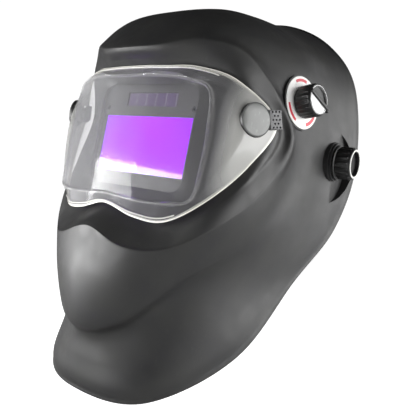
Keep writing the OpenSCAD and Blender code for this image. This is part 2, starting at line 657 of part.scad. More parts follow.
module ratchet_knob() color([0.03, 0.03, 0.03]) on_band() translate([0, housing_y + housing_d + 0.3, 0])
    rotate([-90, 0, 0]) difference() {
        union() {
            cylinder(r = 19, h = 3);
            cylinder(r = 17.5, h = 14);
            for (a = [0:20:340])
                rotate([0, 0, a]) translate([17.4, 0, 3]) cylinder(r = 1.2, h = 9.5, $fn = 16);
        }
        translate([0, 0, -1]) cylinder(r = 4 + run_gap, h = 11);
        translate([0, 0, 12]) tube(15, 8, 4);
    }

module rear_pad() color([0.25, 0.25, 0.26]) on_band()
    translate([0, housing_y - cover_t - 0.4 - 6, 0]) slab(64, 6, 30);

hood();
cover_lens();
filter_holder();
retaining_bail();
filter_case_front();
filter_case_back();
filter_glass();
inner_cover_lens();
solar_cell();
arc_sensors();
circuit_board();
battery_drawer();
coin_cell();
sensitivity_knob();
delay_knob();
shade_knob();
shade_knob_cap();
dial_plate();
potentiometer();
shade_shaft();
shade_nut();
shade_cable();
lens_stud_left();
lens_stud_right();
lens_release_left();
lens_release_right();
pivot_bolt_left();
pivot_bolt_right();
tension_knob_left();
tension_knob_right();
tension_insert_left();
tension_insert_right();
friction_washers();
tilt_stop_left();
tilt_stop_right();
side_arm_left();
side_arm_right();
forehead_band();
crown_strap_left();
crown_strap_right();
crown_rivets();
crown_pins();
sweatband();
band_tail_left();
band_tail_right();
ratchet_housing();
ratchet_cover();
ratchet_pinion();
ratchet_knob();
ratchet_spring();
rear_pad();
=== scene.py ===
"""Looks of an auto-darkening welding helmet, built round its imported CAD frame.

Lengths are in millimetres until a mesh is made, and metres after that. The row frame has its origin on the
tilt axis, +X to the wearer's left, -Y forward and +Z up. The hood's surface is the same net of points as the
CAD source draws, on a finer grid, from the centre of the filter window.
"""
import json
import math

import bmesh
import bpy
import numpy as np
from mathutils import Matrix, Vector

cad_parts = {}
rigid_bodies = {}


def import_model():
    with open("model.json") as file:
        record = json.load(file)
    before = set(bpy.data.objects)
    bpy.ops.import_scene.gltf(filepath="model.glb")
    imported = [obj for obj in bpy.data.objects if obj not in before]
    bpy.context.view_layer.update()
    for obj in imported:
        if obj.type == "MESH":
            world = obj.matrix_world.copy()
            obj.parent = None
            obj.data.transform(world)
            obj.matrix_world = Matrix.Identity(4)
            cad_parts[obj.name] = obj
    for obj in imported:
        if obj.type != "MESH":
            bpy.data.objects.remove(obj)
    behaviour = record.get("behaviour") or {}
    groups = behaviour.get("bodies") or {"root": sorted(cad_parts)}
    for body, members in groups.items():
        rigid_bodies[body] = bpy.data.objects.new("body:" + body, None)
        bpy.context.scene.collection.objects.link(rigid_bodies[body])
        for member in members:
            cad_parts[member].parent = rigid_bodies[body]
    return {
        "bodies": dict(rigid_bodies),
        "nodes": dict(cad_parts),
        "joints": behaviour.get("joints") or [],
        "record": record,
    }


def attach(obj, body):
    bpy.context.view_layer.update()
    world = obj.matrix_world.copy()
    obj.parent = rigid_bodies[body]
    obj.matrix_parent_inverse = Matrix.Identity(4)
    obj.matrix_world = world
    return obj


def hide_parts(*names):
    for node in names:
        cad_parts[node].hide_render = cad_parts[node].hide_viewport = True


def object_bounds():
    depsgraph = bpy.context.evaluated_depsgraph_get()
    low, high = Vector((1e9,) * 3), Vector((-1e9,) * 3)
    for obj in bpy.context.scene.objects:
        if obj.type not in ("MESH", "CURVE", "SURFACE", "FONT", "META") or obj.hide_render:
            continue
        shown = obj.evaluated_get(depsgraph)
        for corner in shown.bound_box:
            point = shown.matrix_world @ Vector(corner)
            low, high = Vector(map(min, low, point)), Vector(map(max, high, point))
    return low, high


MM = 0.001
WINDOW = Vector((0, -128, -22))  # centre of the filter window in the row frame
HOOD_WALL = 2.4
LENS_WALL = 2.0
COLUMNS = 14  # columns of the fine grid for each column of the net
ROWS = 8  # rings of the fine grid for each row of the net
BEAD_R = 2.0  # radius of the rolled bead round the rim
BEAD_FROM = 0.36  # where the skin stops and the bead starts, in rows of the net

# Stations that the CAD source uses too
SEAT_X, SEAT_Y, SEAT_Z, SEAT_R = 122.5, 120, 17, 34
BOSS_X, BOSS_R, BOSS_FLOOR, BOSS_WALL = 104, 18.5, 3, 2.5
BOLT_R, STOP_R, STOP_AT, STOP_ANGLE, LIFT = 5.05, 2.7, 11.5, 55, 70
EAR = ((101.5, 12, 26.5), 63, 2)
DIAL = ((108.8, 64.4, 57.8), 78, 6.5)
DIAL_R, DIAL_UP, DIAL_DEEP = 22, 1.2, 9
STUD_R, KNOB_R, KNOB_Z, KNOB_H = 13, 13, 2.4, 15
TENSION_X, TENSION_R, TENSION_L = 124.9, 14, 16.5
RELEASE_X, RELEASE_L, RELEASE_W = 14.4, 11.5, 15
POINTER = -20  # where the shade knob's pointer stands, in degrees from local x
BAND_TILT = 12  # lean of the headband

# Net of the hood's outer face: each row runs from the top centre line round the wearer's left to the chin
HOOD_NET = np.array([
    [[0, 128, 160], [52, 129, 157], [95, 135, 136], [122, 148, 98], [132, 159, 25],
     [125, 151, -38], [110, 116, -92], [96, 62, -160], [58, 3, -201], [0, -17, -207]],
    [[0, 118, 157], [50, 119, 153], [91, 124, 132], [117, 134, 96], [127, 141, 22],
     [120, 131, -42], [106, 101, -94], [90, 49, -151], [53, -4, -190], [0, -21, -196]],
    [[0, 98, 150], [48, 98, 146], [87, 100, 124], [112, 108, 90], [120, 118, 17],
     [115, 112, -49], [101, 84, -94], [79, 33, -140], [45, -6, -174], [0, -22, -180]],
    [[0, 62, 142], [46, 60, 137], [84, 62, 116], [108, 78, 86], [115, 88, 15],
     [110, 78, -41], [91, 46, -80], [66, 14, -113], [33, -10, -151], [0, -24, -161]],
    [[0, 25, 129], [45, 24, 125], [80, 32, 108], [104, 58, 78], [113, 74, 20],
     [107, 60, -35], [91, 31, -72], [68, 0, -101], [36, -22, -139], [0, -35, -149]],
    [[0, -7, 110], [42, -5, 107], [74, 9, 98], [99, 38, 71], [112, 62, 24],
     [107, 46, -30], [91, 17, -65], [66, -10, -93], [36, -32, -112], [0, -42, -114]],
    [[0, -35, 75], [30, -30, 77], [60, -13, 85], [89, 15, 76], [113, 56, 28],
     [107, 34, -24], [89, 4, -60], [61, -20, -83], [34, -36, -87], [0, -41, -79]],
    [[0, -37.5, 67], [30, -32, 70], [60, -14.5, 79], [89, 13, 72], [112, 52, 28],
     [106, 31, -22], [88, 1, -57], [60, -19, -79], [33, -34, -82], [0, -40, -73]],
    [[0, -27, 63], [30, -24, 64], [59, -11, 69], [87, 9, 61], [106, 47, 28],
     [103, 25, -14], [85, 0, -47], [58, -14.5, -69], [31, -25, -70], [0, -31, -63]],
    [[0, -18, 59.5], [30, -16.5, 59.5], [57, -7, 61], [82, 9, 52], [102, 30, 27],
     [97, 19, -8], [80, 3, -38], [56, -11, -60], [30, -18, -61], [0, -22, -54]],
    [[0, -2.5, 51.5], [24, -2.5, 51.5], [46, -2.5, 51], [54.2, -2.5, 42], [54.2, -2.5, 22],
     [54.2, -2.5, -6], [54, -2.5, -26], [46, -2.5, -36.5], [24, -2.5, -37], [0, -2.5, -37]]])

# Net of the cover lens, from its edge to the border of its pane
LENS_EDGE = [[0, -22, 60.5], [30, -20.5, 60.5], [57, -12, 61.8], [85, 4, 55.5], [111, 27, 30],
             [101, 15, -7], [81, -2, -39], [57, -17, -60.5], [30, -24.5, -61.5], [0, -28, -54.5]]
LENS_BEVEL = [[0, -26, 55], [30, -24.5, 55], [57, -17, 55], [80, -6, 48], [98, 0, 24],
              [92, -4, -9], [78, -10, -38], [56, -19.5, -53], [30, -26.5, -54], [0, -29.5, -50]]
LENS_STEP = [[0, -29.5, 50], [30, -28, 50.5], [57, -20.5, 49.5], [73, -12.5, 43], [77.5, -10.5, 15],
             [77.5, -10.5, -14], [74, -13, -41], [56, -21.5, -47.5], [30, -28, -48.5], [0, -30.5, -47]]
PANE_FRONT, PANE_BOW = -31, 0.0031


# ---- curves and surfaces ----

def blend4(a, b, c, d, f):
    """Smooth curve from b to c, with a before and d after."""
    square = 2 * a - 5 * b + 4 * c - d
    cube = 3 * b - a - 3 * c + d
    return 0.5 * (2 * b + (c - a) * f + square * f ** 2 + cube * f ** 3)


def along_columns(net, us):
    """Every row of the net at columns us, carried on past both centre lines by its mirror image."""
    flip = np.array([-1, 1, 1])
    wide = np.concatenate([net[:, 1:2] * flip, net, net[:, -2:-1] * flip], axis=1)
    i = np.minimum(np.floor(us).astype(int), net.shape[1] - 2)
    f = (us - i)[None, :, None]
    return blend4(wide[:, i], wide[:, i + 1], wide[:, i + 2], wide[:, i + 3], f)


def surface(net, us, vs):
    """Points of the net at every row in vs and column in us."""
    rows = along_columns(net, us)
    tall = np.concatenate([2 * rows[:1] - rows[1:2], rows, 2 * rows[-1:] - rows[-2:-1]])
    i = np.clip(np.floor(vs).astype(int), 0, len(net) - 2)
    f = (vs - i)[:, None, None]
    return blend4(tall[i], tall[i + 1], tall[i + 2], tall[i + 3], f)


def normals(net, us, vs):
    """Unit normals of the net, pointing outwards."""
    e = 0.05
    across = surface(net, np.minimum(us + e, net.shape[1] - 1), vs) - surface(net, np.maximum(us - e, 0), vs)
    up, down = np.minimum(vs + e, len(net) - 1), np.maximum(vs - e, 0)
    along = surface(net, us, up) - surface(net, us, down)
    n = np.cross(along, across)
    return n / np.linalg.norm(n, axis=2, keepdims=True)


def whole_rings(half):
    """Rings of points over the left half, closed by their mirror image."""
    half = half.copy()
    half[:, [0, -1], 0] = 0
    other = half[:, -2:0:-1] * np.array([-1, 1, 1])
    return np.concatenate([half, other], axis=1)


def pane_row(k):
    """Border of the pane drawn in by k, on its bowed face."""
    row = np.array(LENS_STEP) * [k, 0, k]
    row[:, 1] = PANE_FRONT + PANE_BOW * row[:, 0] ** 2
    return row


# ---- meshes ----

def make_piece(name, points, faces, place=None):
    """An object from points in millimetres, with outward normals and crisp edges kept sharp."""
    mesh = bpy.data.meshes.new(name)
    mesh.from_pydata([Vector(p) * MM for p in points], [], faces)
    obj = bpy.data.objects.new(name, mesh)
    bpy.context.scene.collection.objects.link(obj)
    if place is not None:
        shift = place.copy()
        shift.translation *= MM
        mesh.transform(shift)
    tidy_normals(mesh)
    return obj


def tidy_normals(mesh, angle=38):
    """Outward normals, smooth shading and sharp edges."""
    bm = bmesh.new()
    bm.from_mesh(mesh)
    bmesh.ops.recalc_face_normals(bm, faces=bm.faces)
    bm.to_mesh(mesh)
    bm.free()
    mesh.shade_smooth()
    mesh.set_sharp_from_angle(angle=math.radians(angle))


def ring_faces(count, n, closed=False):
    """Quads that join count rings of n points, and the last to the first if closed."""
    faces = []
    for i in range(count if closed else count - 1):
        a, b = i * n, ((i + 1) % count) * n
        faces += [(a + k, a + (k + 1) % n, b + (k + 1) % n, b + k) for k in range(n)]
    return faces


def turned(name, profile, place, ribs=0, rib_depth=0.0, segments=96):
    """A solid of revolution about local z from (radius, height, share of ribs), closed at both ends."""
    points, n = [], segments
    for r, z, share in profile:
        for k in range(n):
            a = 2 * math.pi * k / n
            wave = max(0.0, math.cos(ribs * a)) ** 0.6 if ribs else 0.0
            reach = r + rib_depth * share * wave
            points.append((reach * math.cos(a), reach * math.sin(a), z))
    faces = ring_faces(len(profile), n)
    faces += [tuple(range(n)), tuple(range((len(profile) - 1) * n, len(profile) * n))]
    return make_piece(name, points, faces, place)


def turned_ring(name, profile, place, segments=128):
    """A ring from a profile that ends where it starts."""
    points, angles = [], np.linspace(0, 2 * math.pi, segments, False)
    for r, z, _ in profile[:-1]:
        points += [(r * math.cos(a), r * math.sin(a), z) for a in angles]
    return make_piece(name, points, ring_faces(len(profile) - 1, segments, closed=True), place)


def rounded_bar(name, size, radius, place, steps=4):
    """A box with rounded edges, centred on its place, by a bevel."""
    bm = bmesh.new()
    bmesh.ops.create_cube(bm, size=1.0)
    bmesh.ops.scale(bm, vec=Vector(size), verts=bm.verts)
    bmesh.ops.bevel(bm, geom=bm.edges[:], offset=radius, segments=steps, profile=0.5, affect="EDGES")
    points = [v.co[:] for v in bm.verts]
    faces = [tuple(v.index for v in f.verts) for f in bm.faces]
    bm.free()
    return make_piece(name, points, faces, place)


def tube_along(points, radius, sides=10):
    """Points and faces of a round tube along a list of points."""
    pts = [Vector(p) for p in points]
    out, last = [], len(pts) - 1
    for i, p in enumerate(pts):
        t = (pts[min(i + 1, last)] - pts[max(i - 1, 0)]).normalized()
        s = t.cross(Vector((0, 0, 1)) if abs(t.z) < 0.9 else Vector((0, 1, 0))).normalized()
        w = s.cross(t)
        for k in range(sides):
            a = 2 * math.pi * k / sides
            out.append(p + radius * (math.cos(a) * s + math.sin(a) * w))
    faces = ring_faces(len(pts), sides)
    faces += [tuple(range(sides)), tuple(range(last * sides, (last + 1) * sides))]
    return out, faces


def join(pieces):
    """The pieces as one object, under the first one's name."""
    bm = bmesh.new()
    for p in pieces:
        bm.from_mesh(p.data)
    first = pieces[0]
    bm.to_mesh(first.data)
    bm.free()
    for p in pieces[1:]:
        bpy.data.objects.remove(p)
    first.data.shade_smooth()
    first.data.set_sharp_from_angle(angle=math.radians(38))
    return first


def cut(obj, tools, operation="DIFFERENCE"):
    """Adds or takes away the tools, which are used up."""
    for tool in tools:
        change = obj.modifiers.new("cut", "BOOLEAN")
        change.operation, change.solver, change.object = operation, "MANIFOLD", tool
        apply_modifiers(obj)
        bpy.data.objects.remove(tool)
    tidy_normals(obj.data)


def apply_modifiers(obj):
    """Turns the piece's modifiers into its mesh."""
    graph = bpy.context.evaluated_depsgraph_get()
    mesh = bpy.data.meshes.new_from_object(obj.evaluated_get(graph))
    obj.modifiers.clear()
    old, obj.data = obj.data, mesh
    bpy.data.meshes.remove(old)


# ---- placing, as the CAD source does it ----

def shift(x, y, z):
    """Move by x, y, z."""
    return Matrix.Translation((x, y, z))


def mirror(side):
    """The left side as it is, or its mirror image for side -1."""
    return Matrix.Diagonal((side, 1, 1, 1))


def facing(at, turn, tip):
    """Frame whose z points out of the hood, turned about the upright and tipped up."""
    return (shift(*WINDOW) @ shift(*at) @ Matrix.Rotation(math.radians(turn), 4, "Z")
            @ Matrix.Rotation(math.radians(90 - tip), 4, "X"))


def on_ear(side):
    """Frame of a lens stud, turned so that its release tab stands level with it."""
    return mirror(side) @ facing(*EAR) @ shift(-2.6, 0.5, 0) @ Matrix.Rotation(math.radians(16), 4, "Z")


def on_dial():
    """Frame of the shade dial."""
    return facing(*DIAL)


def along_x(side, x):
    """Frame on the tilt axis, with its z pointing outwards."""
    return mirror(side) @ shift(x, 0, 0) @ Matrix.Rotation(math.radians(90), 4, "Y")


def on_band():
    """Frame of the leaning headband."""
    return Matrix.Rotation(math.radians(-BAND_TILT), 4, "X")


def rod(radius, low, high, place, segments=96):
    """Round cutter or boss along local z."""
    return turned("tool", [(radius, low, 0), (radius, high, 0)], place, segments=segments)


# ---- materials ----

def nodes_of(name):
    """A new material, its tree and its shader."""
    material = bpy.data.materials.new(name)
    material.use_nodes = True
    tree = material.node_tree
    return material, tree, tree.nodes["Principled BSDF"]


def add(tree, kind, **sockets):
    """A node of that kind with the given input values; a name with _ stands for one with a space."""
    node = tree.nodes.new(kind)
    for key, value in sockets.items():
        node.inputs[key.replace("_", " ")].default_value = value
    return node


def noise(tree, scale, detail=3.0, stretch=None):
    """Noise in the object's own space, so that it stays with the piece; scale is per metre."""
    place = add(tree, "ShaderNodeTexCoord").outputs["Object"]
    if stretch is not None:
        mapping = add(tree, "ShaderNodeMapping", Scale=stretch)
        tree.links.new(place, mapping.inputs["Vector"])
        place = mapping.outputs["Vector"]
    node = add(tree, "ShaderNodeTexNoise", Scale=scale, Detail=detail)
    tree.links.new(place, node.inputs["Vector"])
    return node.outputs["Fac"]


def remap(tree, value, low, high, source=(0.3, 0.7)):
    """The value taken from the source range to low and high."""
    node = add(tree, "ShaderNodeMapRange")
    for k, x in zip(("From Min", "From Max", "To Min", "To Max"), (*source, low, high)):
        node.inputs[k].default_value = x
    tree.links.new(value, node.inputs["Value"])
    return node.outputs["Result"]


def mix(tree, factor, a, b):
    """Colour from a to b by the factor."""
    node = tree.nodes.new("ShaderNodeMix")
    node.data_type = "RGBA"
    for socket, value in (("Factor", factor), ("A", a), ("B", b)):
        found = [s for s in node.inputs if s.name == socket and s.enabled][0]
        if isinstance(value, (tuple, float, int)):
            found.default_value = (*value, 1) if isinstance(value, tuple) else value
        else:
            tree.links.new(value, found)
    return [s for s in node.outputs if s.enabled][0]


def moulded(name, dark, light, rough=(0.4, 0.52), grain=1400, depth=0.00004, **sockets):
    """Moulded or machined stuff: mottled colour, uneven gloss, fine grain and faint paler scuffs."""
    material, tree, shader = nodes_of(name)
    scuff = remap(tree, noise(tree, 160, 5, (1, 3, 1)), 0.0, 0.5, (0.62, 0.72))
    colour = mix(tree, remap(tree, noise(tree, 38), 0, 1), dark, light)
    worn = mix(tree, scuff, colour, tuple(min(1.0, x * 1.2 + 0.002) for x in light))
    tree.links.new(worn, shader.inputs["Base Color"])
    tree.links.new(remap(tree, noise(tree, 90, 4), *rough), shader.inputs["Roughness"])
    bump = add(tree, "ShaderNodeBump", Strength=0.6, Distance=depth)
    tree.links.new(noise(tree, grain, 2), bump.inputs["Height"])
    tree.links.new(bump.outputs["Normal"], shader.inputs["Normal"])
    for key, value in sockets.items():
        shader.inputs[key.replace("_", " ")].default_value = value
    return material


def cloth(name, dark, light):
    """Woven towelling: a crossed weave in the piece's own space, with sheen."""
    material, tree, shader = nodes_of(name)
    place = add(tree, "ShaderNodeTexCoord").outputs["Object"]
    weave = []
    for direction in ("X", "Z"):
        wave = add(tree, "ShaderNodeTexWave", Scale=260.0, Distortion=1.2, Detail=2.0)
        wave.bands_direction = direction
        tree.links.new(place, wave.inputs["Vector"])
        weave.append(wave.outputs["Fac"])
    both = add(tree, "ShaderNodeMath")
    both.operation = "MAXIMUM"
    for k in (0, 1):
        tree.links.new(weave[k], both.inputs[k])
    fuzz = mix(tree, remap(tree, noise(tree, 120, 4), 0, 1), dark, light)
    colour = mix(tree, both.outputs["Value"], dark, fuzz)
    tree.links.new(colour, shader.inputs["Base Color"])
    bump = add(tree, "ShaderNodeBump", Strength=0.8, Distance=0.0003)
    tree.links.new(both.outputs["Value"], bump.inputs["Height"])
    tree.links.new(bump.outputs["Normal"], shader.inputs["Normal"])
    shader.inputs["Roughness"].default_value = 0.9
    shader.inputs["Sheen Weight"].default_value = 0.4
    return material


def clear_plastic():
    """Clear polycarbonate: see-through face on, hazier at a grazing angle, where the grey haze is a painted
    reflection, and milky along its edges, where the near-white is a painted highlight.
    """
    material, tree, shader = nodes_of("clear_polycarbonate_with_painted_reflection")
    facing_away = add(tree, "ShaderNodeLayerWeight", Blend=0.35).outputs["Facing"]
    edge = tree.nodes.new("ShaderNodeAttribute")
    edge.attribute_name = "edge"
    side = tree.nodes.new("ShaderNodeAttribute")
    side.attribute_name = "side"
    # painted reflection: a grey haze that grows more opaque as the face turns away from the view, with a
    # little random smudging
    painted_grazing_reflection = remap(tree, facing_away, 0.12, 0.6, (0.12, 0.9))
    smudge = remap(tree, noise(tree, 22, 4), -0.02, 0.03)
    total = add(tree, "ShaderNodeMath")
    tree.links.new(painted_grazing_reflection, total.inputs[0])
    tree.links.new(smudge, total.inputs[1])
    sides = mix(tree, side.outputs["Fac"], total.outputs["Value"], (0.62, 0.62, 0.62))
    # painted highlight: almost opaque where the edge share is high
    alpha = mix(tree, edge.outputs["Fac"], sides, (0.92, 0.92, 0.92))
    tree.links.new(alpha, shader.inputs["Alpha"])
    # grey of the painted reflection, lighter towards the lens's ends; the near-white on the edges is a
    # painted highlight
    body = mix(tree, side.outputs["Fac"], (0.34, 0.34, 0.35), (0.50, 0.50, 0.48))
    colour = mix(tree, edge.outputs["Fac"], body, (0.95, 0.94, 0.86))
    tree.links.new(colour, shader.inputs["Base Color"])
    shader.inputs["Roughness"].default_value = 0.16
    shader.inputs["Coat Weight"].default_value = 0.6
    shader.inputs["Coat Roughness"].default_value = 0.05
    return material


def coated_glass_with_painted_glow():
    """The light valve's front glass: a vivid violet mirror coating that shifts towards blue at its border,
    with a painted violet glow, by emission, on the faces that point forward.
    """
    material, tree, shader = nodes_of("violet_filter_glass_painted_glow")
    swirl = remap(tree, noise(tree, 14, 2), 0, 1)
    colour = mix(tree, swirl, (0.25, 0.004, 0.9), (0.32, 0.02, 1.0))
    tree.links.new(colour, shader.inputs["Base Color"])
    way = add(tree, "ShaderNodeTexCoord").outputs["Normal"]
    split = tree.nodes.new("ShaderNodeSeparateXYZ")
    tree.links.new(way, split.inputs[0])
    # painted glow: the coating's own violet, given as emission on faces that point forward, stands in for the
    # filter's violet reflection
    front = remap(tree, split.outputs["Y"], 1, 0, (-0.9, -0.5))
    tree.links.new(mix(tree, front, (0, 0, 0), colour), shader.inputs["Emission Color"])
    shader.inputs["Emission Strength"].default_value = 1.1
    shader.inputs["Roughness"].default_value = 0.07
    shader.inputs["Coat Weight"].default_value = 0.5
    return material


def solar_material():
    """Dark violet cells with thin paler grid lines."""
    material, tree, shader = nodes_of("solar_cells")
    place = add(tree, "ShaderNodeTexCoord").outputs["Object"]
    wave = add(tree, "ShaderNodeTexWave", Scale=28.0)
    wave.bands_direction = "X"
    tree.links.new(place, wave.inputs["Vector"])
    line = remap(tree, wave.outputs["Fac"], 0, 1, (0.93, 0.98))
    cell = mix(tree, remap(tree, noise(tree, 60), 0, 1), (0.08, 0.055, 0.12), (0.11, 0.075, 0.16))
    tree.links.new(mix(tree, line, cell, (0.16, 0.14, 0.2)), shader.inputs["Base Color"])
    shader.inputs["Roughness"].default_value = 0.25
    shader.inputs["Coat Weight"].default_value = 0.5
    return material


def make_materials():
    """One procedural material for each slot."""
    hood = moulded("hood_nylon", (0.016, 0.016, 0.017), (0.023, 0.023, 0.022), (0.42, 0.52))
    black = moulded("black_nylon", (0.016, 0.016, 0.017), (0.026, 0.026, 0.027), (0.38, 0.5))
    grip = moulded("black_grip", (0.009, 0.009, 0.009), (0.015, 0.015, 0.015), (0.3, 0.45), 900)
    steel = moulded("bright_steel", (0.55, 0.55, 0.57), (0.7, 0.7, 0.71), (0.18, 0.34), 700, 0.00002,
                    Metallic=1.0)
    washer = moulded("cream_nylon", (0.66, 0.66, 0.62), (0.76, 0.76, 0.72), (0.4, 0.55))
    clear = clear_plastic()
    return {
        "hood_plastic": hood, "black_plastic": black, "knob_black": grip, "bright_steel": steel,
        "clear_lens": clear, "filter_violet": coated_glass_with_painted_glow(), "solar": solar_material(),
        "case_grey": moulded("case_grey", (0.028, 0.027, 0.03), (0.038, 0.036, 0.042), (0.4, 0.55)),
        "sensor": moulded("sensor_black", (0.008, 0.008, 0.014), (0.014, 0.012, 0.022), (0.08, 0.15)),
        "board": moulded("circuit_green", (0.012, 0.07, 0.028), (0.02, 0.11, 0.045), (0.3, 0.5), 400, 0.0001),
        "brass": moulded("turned_brass", (0.55, 0.38, 0.15), (0.68, 0.5, 0.24), (0.22, 0.36), 700,
                         Metallic=1.0),
        "dial_white": moulded("white_plate", (0.74, 0.74, 0.72), (0.82, 0.82, 0.8), (0.25, 0.35)),
        "silver_ring": moulded("satin_silver", (0.5, 0.5, 0.5), (0.6, 0.6, 0.6), (0.25, 0.35), 900, 0.00001,
                               Metallic=0.4),
        "stud_grey": moulded("stud_plastic", (0.14, 0.145, 0.14), (0.19, 0.195, 0.19), (0.14, 0.22)),
        "tab_grey": moulded("tab_plastic", (0.11, 0.11, 0.115), (0.14, 0.14, 0.145), (0.4, 0.5)),
        "washer_white": washer,
        "cable": moulded("cable_sheath", (0.01, 0.01, 0.01), (0.018, 0.018, 0.018), (0.45, 0.6), 600),
        "towelling": cloth("towelling", (0.035, 0.035, 0.038), (0.075, 0.075, 0.08)),
        "foam": cloth("pad_cloth", (0.045, 0.045, 0.048), (0.09, 0.09, 0.095)),
    }


def dress(obj, slot, materials, body):
    """Gives a piece its material, its slot and the body it rides on."""
    obj.data.materials.clear()
    obj.data.materials.append(materials[slot])
    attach(obj, body)
    return obj


# ---- hood ----

def hood_columns():
    """Columns of the fine grid over the left half."""
    return np.linspace(0, HOOD_NET.shape[1] - 1, (HOOD_NET.shape[1] - 1) * COLUMNS + 1)


def rim_bead(us):
    """Rings of the rolled bead, from the outside round the rim's edge to the inside."""
    v0 = np.array([0.0])
    edge, n = surface(HOOD_NET, us, v0)[0], normals(HOOD_NET, us, v0)[0]
    t = edge - surface(HOOD_NET, us, np.array([0.08]))[0]
    t /= np.linalg.norm(t, axis=1, keepdims=True)
    centre = edge - n * HOOD_WALL / 2 - t * BEAD_R
    angles = np.radians(np.linspace(128, -128, 15))
    return np.array([centre + BEAD_R * (math.cos(a) * t + math.sin(a) * n) for a in angles])


def hood_shell():
    """Outer skin, rolled rim bead and inner skin as one closed shell."""
    us = hood_columns()
    last = len(HOOD_NET) - 1
    vs = np.linspace(last, BEAD_FROM, last * ROWS)
    outer = surface(HOOD_NET, us, vs)
    inner_vs = np.linspace(BEAD_FROM, last, last * ROWS // 2)
    inner = surface(HOOD_NET, us, inner_vs) - HOOD_WALL * normals(HOOD_NET, us, inner_vs)
    near = np.hypot(inner[..., 1] - SEAT_Y, inner[..., 2] - SEAT_Z) < SEAT_R + HOOD_WALL + 1
    flat = SEAT_X - HOOD_WALL
    inner[..., 0] = np.where(near, np.minimum(inner[..., 0], flat), inner[..., 0])
    rings = whole_rings(np.concatenate([outer, rim_bead(us), inner]))
    count, n = rings.shape[:2]
    return make_piece("hood_shell", rings.reshape(-1, 3), ring_faces(count, n, closed=True), shift(*WINDOW))


def stop_slot_tool(side):
    """Arc-shaped cutter for the slot that the tilt stop's pin runs in."""
    arc = [math.radians(90 + STOP_ANGLE + a) for a in np.linspace(0, LIFT, 24)]
    low, high = [], []
    for r, grow in ((STOP_AT + STOP_R, low), (STOP_AT - STOP_R, high)):
        grow += [(r * math.cos(a), r * math.sin(a)) for a in arc]

    def cap(angle, start):
        c = (STOP_AT * math.cos(angle), STOP_AT * math.sin(angle))
        turn = [start + k * math.pi / 8 for k in range(1, 8)]
        return [(c[0] + STOP_R * math.cos(a), c[1] + STOP_R * math.sin(a)) for a in turn]

    outline = low + cap(arc[-1], arc[-1]) + high[::-1] + cap(arc[0], arc[0] + math.pi)
    n = len(outline)
    points = [(x, y, z) for z in (0, BOSS_FLOOR + 2) for x, y in outline]
    faces = ring_faces(2, n) + [tuple(range(n)), tuple(range(n, 2 * n))]
    return make_piece("tool", points, faces, along_x(side, BOSS_X - 1))


def make_hood():
    """The shell with its bosses, seats, bores, stop slots and dial pocket."""
    hood = hood_shell()
    bosses = [rod(BOSS_R, BOSS_X, SEAT_X + 0.6, along_x(s, 0)) for s in (-1, 1)]
    bosses.append(rod(DIAL_R + 1, -DIAL_DEEP, DIAL_UP, on_dial()))
    cut(hood, bosses, "UNION")
    tools = [rod(12, -DIAL_DEEP - 1, -3.5, on_dial()), rod(4.1, -12, 10, on_dial(), 48)]
    for s in (-1, 1):
        seat = (mirror(s) @ shift(*WINDOW) @ shift(SEAT_X, SEAT_Y, SEAT_Z)
                @ Matrix.Rotation(math.pi / 2, 4, "Y"))
        tools.append(rod(SEAT_R, 0, 30, seat, 160))
        tools.append(rod(BOSS_R - BOSS_WALL, BOSS_X + BOSS_FLOOR, SEAT_X - BOSS_WALL, along_x(s, 0)))
        tools.append(rod(BOLT_R, BOSS_X - 1, SEAT_X + 5, along_x(s, 0), 48))
        tools.append(stop_slot_tool(s))
        tools.append(rod(4.1, -25, -5, on_ear(s), 48))
    cut(hood, tools)
    return hood


# ---- cover lens ----

def lens_row_tube(u_from, u_to, v, net):
    """A thin rib on the lens that follows row v across the centre line, from one side to the other."""
    us = np.linspace(u_from, u_to, 60)
    half = surface(net, np.abs(us) if u_from < 0 else us, np.array([v]))[0]
    if u_from < 0:
        half = half * np.stack([np.sign(us) + (us == 0), np.ones(60), np.ones(60)], axis=1)
    points, faces = tube_along(half, 0.55, 8)
    return make_piece("rib", points, faces, shift(*WINDOW))


def make_cover_lens():
    """Bent clear lens with its stepped pane, stud holes and edge ribs."""
    net = np.array([LENS_EDGE, LENS_BEVEL, LENS_STEP, pane_row(0.96), pane_row(0.5)])
    us = hood_columns()
    vs = np.linspace(0, len(net) - 1, 40)
    outer, n_out = surface(net, us, vs), normals(net, us, vs)
    inner = outer - LENS_WALL * n_out
    centre = [along_columns(np.array([pane_row(k)]), us) for k in (0.4, 0.3, 0.2, 0.1)]
    mid_out = np.concatenate(centre)
    mid_in = mid_out + [0, LENS_WALL, 0]
    lip = outer[:1] - n_out[:1] * LENS_WALL / 2
    lip += (outer[:1] - outer[1:2]) * 0.25
    rings = whole_rings(np.concatenate([mid_out[::-1], outer[::-1], lip, inner, mid_in]))
    count, n = rings.shape[:2]
    points = [*rings.reshape(-1, 3), (0, PANE_FRONT, 0), (0, PANE_FRONT + LENS_WALL, 0)]
    front, back, last = count * n, count * n + 1, (count - 1) * n
    faces = ring_faces(count, n)
    faces += [(front, (k + 1) % n, k) for k in range(n)]
    faces += [(back, last + k, last + (k + 1) % n) for k in range(n)]
    lens = make_piece("clear_cover_lens", points, faces, shift(*WINDOW))
    tools = []
    for s in (-1, 1):
        tools.append(rod(STUD_R + 0.3, 0.2, 8, on_ear(s)))
        tools.append(rod(8.6, -9, 5, on_ear(s)))
        tools.append(rounded_bar("tool", (26, 16, 14), 0.5, on_ear(s) @ shift(13, 0, -2)))
    cut(lens, tools)
    shell_edge(lens, net)
    ribs = [lens_row_tube(-2.6, 2.6, 0.45, net)]
    ribs += [lens_row_tube(6.75, 9, 0.4, net), mirrored(lens_row_tube(6.75, 9, 0.4, net))]
    # painted highlight: the ribs get part of the edge's near-white look
    for r in ribs:
        mark(r, 0.6)
    return join([lens, *ribs])


